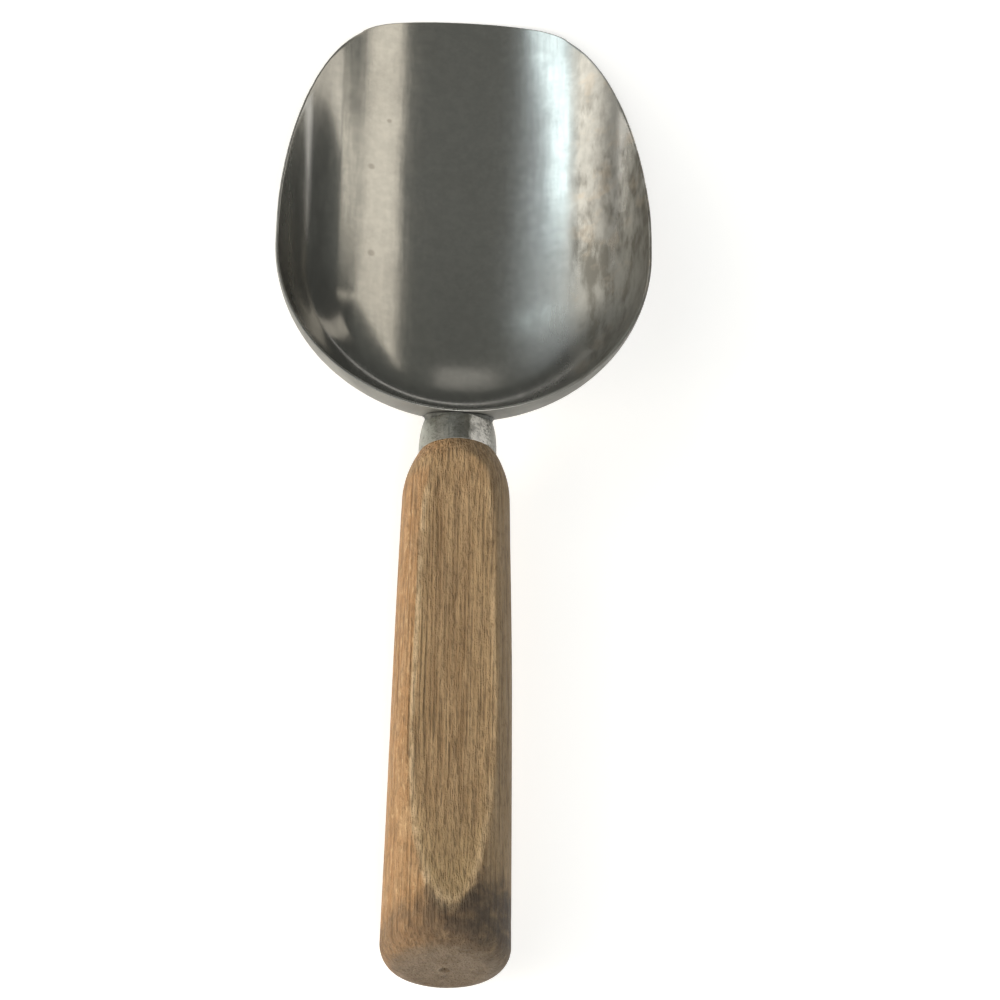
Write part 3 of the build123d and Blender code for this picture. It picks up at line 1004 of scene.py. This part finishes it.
class Room(Net):
    """Patches of light on the sky, laid one over the other."""

    def __init__(self, tree):
        super().__init__(tree, "Generated")
        self.light = BASE_LIGHT

    def side(self, first, second, inside):
        """1 on one side of the great circle through two directions, the side that holds a third."""
        normal = np.cross(toward(*first), toward(*second))
        normal /= np.linalg.norm(normal)
        if normal @ toward(*inside) < 0:
            normal = -normal
        half = math.sin(math.radians(LOW_PATCH_BLUR)) / 2
        return self.range(self.vector("DOT_PRODUCT", self.place, normal.tolist())["Value"], -half, half)

    def patch(self, mask, colour):
        self.light = self.mix(mask, self.light, colour)


def build_room():
    world = bpy.data.worlds.new("room")
    bpy.context.scene.world = world
    world.use_nodes = True
    room = Room(world.node_tree)
    sides = room.times(room.range(room.y, *SIDES_Y), room.range(room.z, *SIDES_Z))
    room.patch(sides, room.mix(room.range(room.x, *MIDDLE_X), *SIDE_TONES))
    low = room.times(*[room.side(*directions) for directions in LOW_PATCH_SIDES])
    room.patch(room.times(low, 0.9), LOW_PATCH)
    room.patch(room.times(room.range(room.x, *HALO_X), room.range(room.z, *HALO_Z)), HALO)
    left = room.times(room.range(room.y, *LEFT_Y), room.range(room.x, *LEFT_X))
    left = room.times(left, room.range(room.z, *LEFT_Z))
    room.patch(left, room.mix(room.range(room.z, *LEFT_FALL, smooth=False), *LEFT_TONES))
    room.set(world.node_tree.nodes["Background"], Color=room.light)


build_room()


# Lamps, and cards that glow and are mirrored in the bowl

def lamp(name, azimuth, height, distance, size, glow, colour):
    """A square soft light turned to the scoop; glow is how bright its face is."""
    light = bpy.data.lights.new(name, "AREA")
    light.shape = "SQUARE"
    light.size = size
    light.energy = glow * math.pi * size**2
    light.color = colour
    holder = bpy.data.objects.new(name, light)
    bpy.context.scene.collection.objects.link(holder)
    z = toward(azimuth, height)
    x = np.cross([0, 0, 1], z)
    x /= np.linalg.norm(x)
    turned = Matrix(np.array([x, np.cross(z, x), z]).T.tolist()).to_4x4()
    holder.matrix_world = Matrix.Translation((z * distance).tolist()) @ turned
    return holder


def card(name, corners, colour):
    """A flat card that glows evenly, casts no shadow and isn't seen by the camera."""
    made = bpy.data.materials.new(name)
    made.use_nodes = True
    nodes = made.node_tree.nodes
    nodes.remove(nodes["Principled BSDF"])
    glow = nodes.new("ShaderNodeEmission")
    glow.inputs["Color"].default_value = (*colour, 1)
    made.node_tree.links.new(glow.outputs[0], nodes["Material Output"].inputs["Surface"])
    holder = flat_shape(name, corners)
    holder.data.materials.append(made)
    holder.visible_camera = False
    holder.visible_shadow = False


left_lamp = lamp("left_lamp", azimuth=-108, height=14, distance=1.7, size=0.7, glow=18.0,
                 colour=(1.0, 0.86, 0.66))
left_lamp.visible_glossy = False
lamp("camera_side_lamp", azimuth=168, height=48, distance=1.7, size=0.8, glow=6.0,
     colour=(1.0, 0.98, 0.94))

# Outlines of the cards overhead, seen from above
CARD_HEIGHT = 1.02
UPPER = [(0.372, 0.60), (0.376, 0.75), (0.385, 0.89), (0.445, 1.267), (0.535, 2.1),
         (0.545, 1.63), (0.598, 1.19), (0.64, 0.90), (0.66, 0.60)]
SIDE = [(0.64, 0.83), (0.731, 0.872), (0.841, 0.918), (0.953, 0.982), (1.05, 1.06),
        (1.04, 1.10), (0.80, 0.99), (0.752, 0.935), (0.64, 0.88)]
BLUE = [(-0.326, 0.875), (-0.407, 0.85), (-0.467, 0.81), (-0.536, 0.793), (-0.566, 0.805),
        (-0.585, 0.85), (-0.587, 0.90), (-0.563, 0.93), (-0.49, 0.96), (-0.28, 0.91)]
OVERHEAD = [("upper_card", UPPER, (0.98, 0.915, 0.79)), ("side_card", SIDE, (1.12, 1.05, 0.90)),
            ("blue_card", BLUE, (1.85, 2.18, 2.26))]
for name, outline, colour in OVERHEAD:
    card(name, [(x, y, CARD_HEIGHT) for x, y in outline], colour)

# A small card that stands beside the bowl, as (y, z)
NEAR_X = 0.10
NEAR = [(0.182, 0.004), (0.213, 0.004), (0.232, 0.124), (0.197, 0.124)]
card("near_card", [(NEAR_X, y, z) for y, z in NEAR], (1.02, 0.96, 0.84))


# Camera at the photograph's place

PICTURE, SENSOR = 1000, 36.0
FOCAL = 4500.0             # in pixels of the picture
TILT, SWING, ROLL = 29.18, 3.06, -1.09
ORIGIN_SEEN = np.array([-7.93, 55.55, -993.02])  # the points' origin, in mm along the camera's axes


def cosine_and_sine(degrees):
    return math.cos(math.radians(degrees)), math.sin(math.radians(degrees))


def build_camera():
    ct, st = cosine_and_sine(TILT)
    cs, ss = cosine_and_sine(SWING)
    cr, sr = cosine_and_sine(ROLL)
    swing = np.array([[cs, 0, ss], [0, 1, 0], [-ss, 0, cs]])
    tilt = np.array([[1, 0, 0], [0, ct, st], [0, -st, ct]])
    roll = np.array([[cr, -sr, 0], [sr, cr, 0], [0, 0, 1]])
    turn = roll @ tilt @ swing
    eye = -turn.T @ ORIGIN_SEEN + np.array([0, BOWL_Y, RIM_Z])
    data = bpy.data.cameras.new("camera")
    data.sensor_width = SENSOR
    data.lens = FOCAL / PICTURE * SENSOR
    data.clip_start = 0.01
    data.clip_end = 100
    camera = bpy.data.objects.new("camera", data)
    bpy.context.scene.collection.objects.link(camera)
    camera.matrix_world = Matrix.Translation((eye * MM).tolist()) @ Matrix(turn.T.tolist()).to_4x4()
    return camera


bpy.context.scene.camera = build_camera()
bpy.context.scene.view_settings.view_transform = "Standard"
